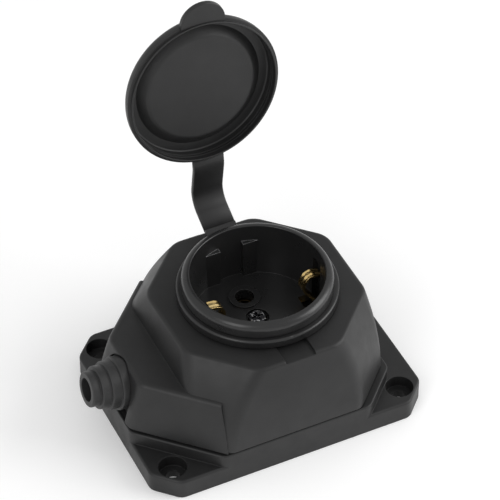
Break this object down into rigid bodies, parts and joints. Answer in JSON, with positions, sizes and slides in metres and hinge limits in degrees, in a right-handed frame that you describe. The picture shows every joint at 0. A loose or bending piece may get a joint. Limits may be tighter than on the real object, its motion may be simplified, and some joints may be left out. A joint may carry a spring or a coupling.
{
  "type": "surface-mounted socket outlet",
  "caption": "Surface-mounted rubber socket outlet with a round earthed recess, side earth clips, a flip cap on a flexible strap and a stepped cable grommet.",
  "frame": {"origin": "centre of the base's back face, which is also the centre of the screw-hole rectangle", "axes": "+Z out of the wall along the socket's axis, X along the base's long side with the cable entry at -X, +Y towards the cap's strap"},
  "size_m": [0.1038, 0.0823, 0.1243],
  "materials": {
    "housing_rubber": "satin",
    "cap_rubber": "satin",
    "grommet_rubber": "satin",
    "insert_plastic": "satin",
    "inner_plastic": "matt",
    "contact_brass": "polished",
    "screw_steel": "plated"
  },
  "bodies": {
    "outlet": {"housing": "housing_rubber", "base_plate": "housing_rubber", "cap_ring": "cap_rubber", "cap_strap": "cap_rubber", "cable_grommet": "grommet_rubber", "base_seal": "grommet_rubber", "socket_body": "insert_plastic", "contact_carrier": "inner_plastic", "cable_clamp": "inner_plastic", "line_contact": "contact_brass", "neutral_contact": "contact_brass", "earth_contact": "contact_brass", "line_terminal": "contact_brass", "neutral_terminal": "contact_brass", "earth_terminal": "contact_brass", "housing_screws": "screw_steel", "insert_screws": "screw_steel", "terminal_screws": "screw_steel", "centre_screw": "screw_steel", "clamp_screws": "screw_steel"},
    "cap": {"cap": "cap_rubber"}
  },
  "joints": [
    {"name": "cap_hinge", "type": "hinge", "parent": "outlet", "child": "cap", "pos_m": [0.0031, 0.0402, 0.0517], "axis": [1, 0, 0], "range_deg": [-30, 97.5], "stiffness_Nm_per_rad": 0.03, "deforming": ["cap_strap"]}
  ]
}
